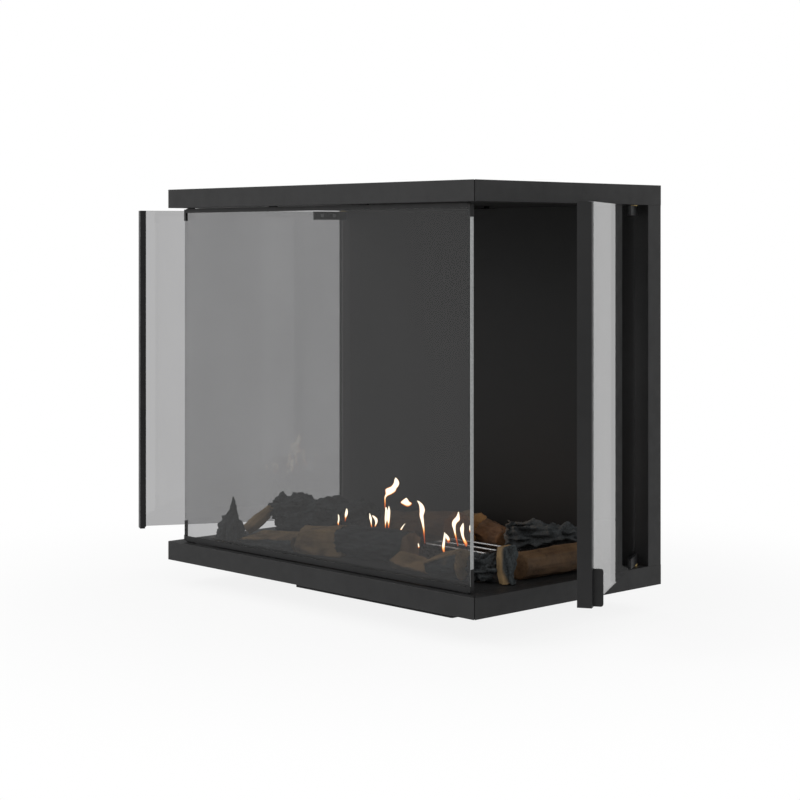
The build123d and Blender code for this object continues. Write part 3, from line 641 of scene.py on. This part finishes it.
def lay_chips(name, finish, places, seed):
    """Lay chips of stone at places, and give them a finish."""
    chance = random.Random(seed)
    heap = bmesh.new()
    for place in places:
        ball = bmesh.ops.create_icosphere(heap, subdivisions=1, radius=chance.uniform(0.003, 0.0062))
        angle = chance.uniform(0, 6)
        spindle = Vector((chance.random(), chance.random(), 1)).normalized()
        turn = Matrix.Rotation(angle, 3, spindle)
        flat = chance.uniform(0.55, 0.9)
        for vertex in ball["verts"]:
            rough = vertex.co * chance.uniform(0.75, 1.2)
            vertex.co = turn @ Vector((rough.x, rough.y * flat, rough.z * flat)) + place
    mesh = bpy.data.meshes.new(name)
    heap.to_mesh(mesh)
    heap.free()
    mesh.materials.append(finish)
    chips = new_object(name, mesh)
    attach(chips, "firebox")


def scatter(seed, count, low, high, level):
    """Return places spread by chance over a rectangle."""
    chance = random.Random(seed)
    places = []
    for chip in range(count):
        x = chance.uniform(low.x, high.x)
        y = chance.uniform(low.y, high.y)
        places.append(Vector((x, y, level + chance.uniform(0, 0.0025))))
    return places


# %% Lay the granules
margin = Vector((0.006, 0.006, 0))
cold_places = scatter(3, 620, bed_low + margin, bed_high - margin, bed_high.z)
lay_chips("lava_granules", finishes["ember_granules"], cold_places, 4)
glow_low = Vector((-0.085, -0.07, 0))
glow_high = Vector((-0.03, -0.035, 0))
hot_places = scatter(5, 26, glow_low, glow_high, bed_high.z + 0.004)
lay_chips("glowing_granules", glowing, hot_places, 6)
print("granules laid:", len(cold_places) + len(hot_places))

# %% [markdown]
# ## Flames
# A gas flame is a thin sheet of glowing gas. Its foot is a faint orange
# thread, and higher up it swells into a white-yellow lobe with an orange rim.
# Each flame here is a closed leaf, lofted through rings that are given as
# sway, height and width in millimetres, which is how one would sketch it. The
# maker rounds the sketch, and leaves a value called warmth that rises with
# height. The finish turns it and the angle to the eye into the glow. A leaf
# is about half as thick as it is wide, and its wide side looks at the room.

# %% Flame finish
flame_glow, leftover = start_finish("flame")
flame_glow.node_tree.nodes.remove(leftover)
fire = add(flame_glow, "ShaderNodeEmission")
fire.inputs["Strength"].default_value = 3.0
rim = add(flame_glow, "ShaderNodeLayerWeight")
rim.inputs["Blend"].default_value = 0.5
warm = add(flame_glow, "ShaderNodeAttribute", attribute_name="warmth")
cooler_rim = add(flame_glow, "ShaderNodeMath", operation="MULTIPLY_ADD", use_clamp=True)
cooler_rim.inputs[1].default_value = -1.5
join(flame_glow, rim.outputs["Facing"], cooler_rim.inputs[0])
join(flame_glow, warm.outputs["Fac"], cooler_rim.inputs[2])
glow_colour = shades(
    flame_glow, cooler_rim.outputs["Value"],
    (0.22, 0.03, 0.005), (0.6, 0.13, 0.02), (1.0, 0.5, 0.14), (1.0, 0.93, 0.72), low=0.02, high=0.66,
)
join(flame_glow, glow_colour, fire.inputs["Color"])
join(flame_glow, fire.outputs["Emission"], flame_glow.node_tree.nodes["Material Output"].inputs["Surface"])

# %% The flame maker
across_view = Vector((math.cos(view_turn), math.sin(view_turn), 0))
thinness = 0.45
leaf_sides = 12
to_camera = Vector((across_view.y, -across_view.x, 0))


def rounded_sketch(sketch, parts=4):
    """Return a sketch with smooth in-between rings, by a spline through its rings."""
    rings = [Vector(ring) for ring in sketch]
    rings = [rings[0], *rings, rings[-1]]
    smooth = []
    for a, b, c, d in zip(rings, rings[1:], rings[2:], rings[3:]):
        for part in range(parts):
            t = part / parts
            bend = 2 * b + (c - a) * t + (2 * a - 5 * b + 4 * c - d) * t * t
            bend += (3 * b - a - 3 * c + d) * t ** 3
            smooth.append(bend / 2)
    return smooth + [rings[-1]]


def flame(name, foot, sketch, first_warmth=0.0):
    """Make a leaf of flame over its foot from a sketch of sway, height and width."""
    rings = rounded_sketch(sketch)
    tall = rings[-1].y
    leaf = bmesh.new()
    warm_layer = leaf.verts.layers.float.new("warmth")
    layers = []
    for ring in rings:
        middle = Vector(foot) + across_view * ring.x / 1000 + Vector((0, 0, ring.y / 1000))
        radius = max(0.4, ring.z) / 2000
        warmth = first_warmth + (1 - first_warmth) * smooth_step(ring.y / tall, 0.05, 0.6)
        layer = []
        for side in range(leaf_sides):
            angle = 2 * math.pi * side / leaf_sides
            point = middle + across_view * math.cos(angle) * radius
            point += to_camera * math.sin(angle) * radius * thinness
            vertex = leaf.verts.new(point)
            vertex[warm_layer] = warmth
            layer.append(vertex)
        layers.append(layer)
    for lower, upper in zip(layers, layers[1:]):
        for side in range(leaf_sides):
            other = (side + 1) % leaf_sides
            leaf.faces.new((lower[side], lower[other], upper[other], upper[side]))
    leaf.faces.new(layers[0][::-1])
    leaf.faces.new(layers[-1])
    bmesh.ops.recalc_face_normals(leaf, faces=leaf.faces)
    mesh = bpy.data.meshes.new(name)
    leaf.to_mesh(mesh)
    leaf.free()
    mesh.shade_smooth()
    mesh.materials.append(flame_glow)
    piece = new_object(name, mesh)
    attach(piece, "firebox")


def above_floor(x, y, height):
    """Return a place at a height in millimetres over the firebox floor."""
    return (x / 1000, y / 1000, floor_top + height / 1000)


# %% Light the flames in the middle
flame(
    "flame_tall", above_floor(-34, -20, 81),
    [(0, 0, 1.5), (0, 10, 2.4), (0.5, 21, 3.6), (7, 27, 13), (10, 32, 20), (11.5, 37, 21),
     (18.5, 42, 14), (21.5, 48, 11), (21, 54, 7), (20, 58, 1)],
    0.25,
)
flame(
    "flame_tall_left_stem", above_floor(-33, -20, 35),
    [(0, 0, 1), (0, 13, 2), (1, 27, 5), (2, 36, 6), (1, 48, 2.4)],
)
flame(
    "flame_tall_right_stem", above_floor(-25, -20, 37),
    [(0, 0, 1.4), (0.5, 13, 3), (0, 25, 6), (0, 34, 7.5), (1, 42, 5), (1, 49, 0.8)],
)
flame(
    "flame_loose", above_floor(27, -20, 90),
    [(0, 0, 2), (0, 2.5, 13), (-2, 7, 21), (-4, 10, 16), (-3, 14, 8), (-2, 16.5, 1)],
    0.8,
)
flame(
    "flame_hook", above_floor(94, -40, 31),
    [(0, 0, 0.8), (-1, 12, 2), (-2, 26, 3.4), (-4, 39, 5), (-6, 51, 7.5), (-5, 58, 9.5),
     (-5, 64, 10), (-7, 71, 8), (-11, 76.5, 4.6), (-14, 79, 0.8)],
)
flame(
    "flame_curl_left", above_floor(-22, -60, 46),
    [(0, 0, 1.6), (-4, 6, 2), (-5, 14, 2.6), (-6, 21, 5), (-7, 27, 3), (-8, 31, 0.8)],
    0.1,
)
flame(
    "flame_curl_right", above_floor(-21, -60, 46),
    [(0, 0, 1.6), (2, 7, 2.4), (4, 14, 4.4), (3, 20, 6.4), (0, 24, 6), (-3, 27, 1.6)],
    0.1,
)
flame(
    "flame_spark", above_floor(30, -40, 46),
    [(0, 0, 3.6), (1, 5, 3.4), (4, 10, 2.4), (8, 15, 0.8)],
    0.35,
)
flame("flame_foot_small", above_floor(81, -60, 33), [(0, 0, 3.4), (0, 5, 4.2), (-1, 10, 1)], 0.15)
flame("flame_foot_middle", above_floor(119, -80, 30), [(0, 0, 2.4), (0, 4, 2.8), (-1, 9, 1)], 0.25)

# %% Light the flames at both ends
flame(
    "flame_left_far", above_floor(-167, -20, 32),
    [(2, 0, 1.2), (0, 6, 3), (1, 13, 3), (1, 20, 2.8), (0, 24, 0.8)],
    0.2,
)
flame(
    "flame_left_near", above_floor(-101, -60, 53),
    [(-1, 0, 1), (0, 7, 3), (1, 13, 5.4), (2, 19, 5), (2, 25, 1)],
    0.1,
)
flame(
    "flame_right_low", above_floor(194, -90, 30),
    [(1, 0, 1.8), (-1, 7, 5), (-1, 15, 5.4), (0, 23, 4), (1, 30, 4), (1, 38, 1)],
    0.3,
)
flame(
    "flame_right_low_lobe", above_floor(205, -90, 50),
    [(0, 0, 2.6), (0, 5, 6), (-2, 11, 6), (-5, 17, 1)],
    0.1,
)
flame(
    "flame_right", above_floor(209, -70, 43),
    [(0, 0, 1.8), (-3, 13, 3), (-6, 28, 4), (-7, 39, 8), (-3, 46, 12.5), (0, 53, 6), (1, 61, 1)],
)
flame(
    "flame_right_back", above_floor(210, -50, 40),
    [(0, 0, 1.6), (-1, 6, 7), (-5, 15, 5), (-7, 23, 5.4), (-7.5, 33, 7.4), (-5.5, 42, 1)],
    0.3,
)
flame("flame_right_tip", above_floor(191, -20, 59), [(0, 0, 1.6), (0, 7, 4.4), (-1, 14, 1)], 0.2)

# %% [markdown]
# ## Give every solid its finish
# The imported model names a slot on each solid, and the finishes above have
# the same names, so one loop dresses them all. Only the panes differ, since
# each pane's glass has to know which way that pane faces.

# %% Dress the solids
for node, solid in solids.items():
    slot = solid.data.materials[0].name.split(".")[0]
    finish = pane_glass.get(node) or finishes.get(slot)
    if finish is None:
        print("no finish for", node, slot)
        continue
    for index in range(len(solid.data.materials)):
        solid.data.materials[index] = finish
print("finishes used:", len(finishes) + len(pane_glass))

# %% [markdown]
# ## The corner seams
# At each front corner two bars meet with a hair-wide gap between their cut
# ends. A folded strip inside the bars closes that gap, so it shows as a dark
# line instead of letting the room through. It is bent from one thin sheet.

# %% Strips behind the corner seams
def seam_strip(name, bar, hand):
    """Fold a strip inside a corner, the height of its bar."""
    low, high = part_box(bar)
    inset, reach, thick = 0.0024, 0.014, 0.0008
    corner = Vector(((high.x if hand > 0 else low.x) - hand * inset, low.y + inset, low.z + 0.0006))
    outline = [(0, 0), (-reach, 0), (-reach, thick), (-thick, thick), (-thick, reach), (0, reach)]
    fold = bmesh.new()
    ring = [fold.verts.new(corner + Vector((hand * x, y, 0))) for x, y in outline]
    sheet = fold.faces.new(ring)
    raised = bmesh.ops.extrude_face_region(fold, geom=[sheet])["geom"]
    height = Vector((0, 0, high.z - low.z - 0.0012))
    bmesh.ops.translate(fold, verts=[v for v in raised if isinstance(v, bmesh.types.BMVert)], vec=height)
    bmesh.ops.recalc_face_normals(fold, faces=fold.faces)
    mesh = bpy.data.meshes.new(name)
    fold.to_mesh(mesh)
    fold.free()
    mesh.materials.append(finishes["shoe_steel"])
    strip = new_object(name, mesh)
    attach(strip, "firebox")


for level in ("top", "bottom"):
    for hand, side_name in ((-1, "left"), (1, "right")):
        seam_strip(f"seam_{level}_{side_name}", f"front_{level}_bar", hand)

# %% [markdown]
# ## Room, floor and lamps
# The photograph has a pure white room. The world is white to the camera, to
# reflections and through glass, and a plain level for the light that it
# gives. The floor shows nearly white too, and keeps a faint shadow.

# %% The world
def looked_at(tree):
    """Return 1 for a ray from the camera, from a mirror or through glass."""
    ray = add(tree, "ShaderNodeLightPath")
    straight = add(tree, "ShaderNodeMath", operation="MAXIMUM")
    join(tree, ray.outputs["Is Camera Ray"], straight.inputs[0])
    join(tree, ray.outputs["Is Glossy Ray"], straight.inputs[1])
    either = add(tree, "ShaderNodeMath", operation="MAXIMUM")
    join(tree, straight.outputs["Value"], either.inputs[0])
    join(tree, ray.outputs["Is Transmission Ray"], either.inputs[1])
    return either.outputs["Value"]


world = bpy.data.worlds.new("white_room")
bpy.context.scene.world = world
world.use_nodes = True
plain = world.node_tree.nodes["Background"]
plain.inputs["Color"].default_value = (1, 1, 1, 1)
plain.inputs["Strength"].default_value = 0.62
seen = add(world, "ShaderNodeBackground")
seen.inputs["Color"].default_value = (1, 1, 1, 1)
seen.inputs["Strength"].default_value = 1.0
choose = add(world, "ShaderNodeMixShader")
join(world, looked_at(world), choose.inputs["Fac"])
join(world, plain.outputs["Background"], choose.inputs[1])
join(world, seen.outputs["Background"], choose.inputs[2])
join(world, choose.outputs["Shader"], world.node_tree.nodes["World Output"].inputs["Surface"])
print("room lights with strength", plain.inputs["Strength"].default_value)

# %% The floor
floor_reach = 30
floor_drop = 0.0005
floor_mesh = bpy.data.meshes.new("studio_floor")
floor_shape = bmesh.new()
bmesh.ops.create_grid(floor_shape, x_segments=2, y_segments=2, size=floor_reach)
floor_shape.to_mesh(floor_mesh)
floor_shape.free()
floor = new_object("studio_floor", floor_mesh)
floor.location.z = -floor_drop
pale, pale_shader = start_finish("pale_floor")
pale_shader.inputs["Base Color"].default_value = (0.9, 0.9, 0.9, 1)
pale_shader.inputs["Roughness"].default_value = 0.9
pale_shader.inputs["Specular IOR Level"].default_value = 0.0
white = add(pale, "ShaderNodeEmission")
white.inputs["Strength"].default_value = 1.0
spot = add(pale, "ShaderNodeTexCoord")
distance = add(pale, "ShaderNodeVectorMath", operation="LENGTH")
join(pale, spot.outputs["Object"], distance.inputs[0])
fade = add(pale, "ShaderNodeMapRange", interpolation_type="SMOOTHSTEP")
fade.inputs["From Min"].default_value = 0.45
fade.inputs["From Max"].default_value = 1.3
fade.inputs["To Min"].default_value = 0.86
fade.inputs["To Max"].default_value = 1.0
join(pale, distance.outputs["Value"], fade.inputs["Value"])
share_white = add(pale, "ShaderNodeMath", operation="MULTIPLY")
join(pale, looked_at(pale), share_white.inputs[0])
join(pale, fade.outputs["Result"], share_white.inputs[1])
blend = add(pale, "ShaderNodeMixShader")
join(pale, share_white.outputs["Value"], blend.inputs["Fac"])
join(pale, pale_shader.outputs["BSDF"], blend.inputs[1])
join(pale, white.outputs["Emission"], blend.inputs[2])
join(pale, blend.outputs["Shader"], pale.node_tree.nodes["Material Output"].inputs["Surface"])
floor_mesh.materials.append(pale)
print("floor lies", floor_drop * 1000, "mm under the fire")


# %% Lamps
def soft_lamp(name, place, target, size, power):
    """Hang a square soft lamp that looks at a target."""
    light = bpy.data.lights.new(name, "AREA")
    light.size = size
    light.energy = power
    lamp = new_object(name, light)
    lamp.location = place
    lamp.rotation_euler = (Vector(target) - Vector(place)).to_track_quat("-Z", "Y").to_euler()


soft_lamp("front_left_lamp", (-1.8, -3.4, 2.6), (0, 0, 0.4), 2.4, 70)
soft_lamp("right_lamp", (3.6, 0.6, 2.0), (0.3, 0, 0.4), 1.8, 26)
fire_light = bpy.data.lights.new("fire_light", "POINT")
fire_light.color = (1.0, 0.6, 0.34)
fire_light.energy = 0.3
fire_light.shadow_soft_size = 0.03
fire_lamp = new_object("fire_light", fire_light)
fire_lamp.location = above_floor(150, 10, 130)
fire_lamp.visible_glossy = False
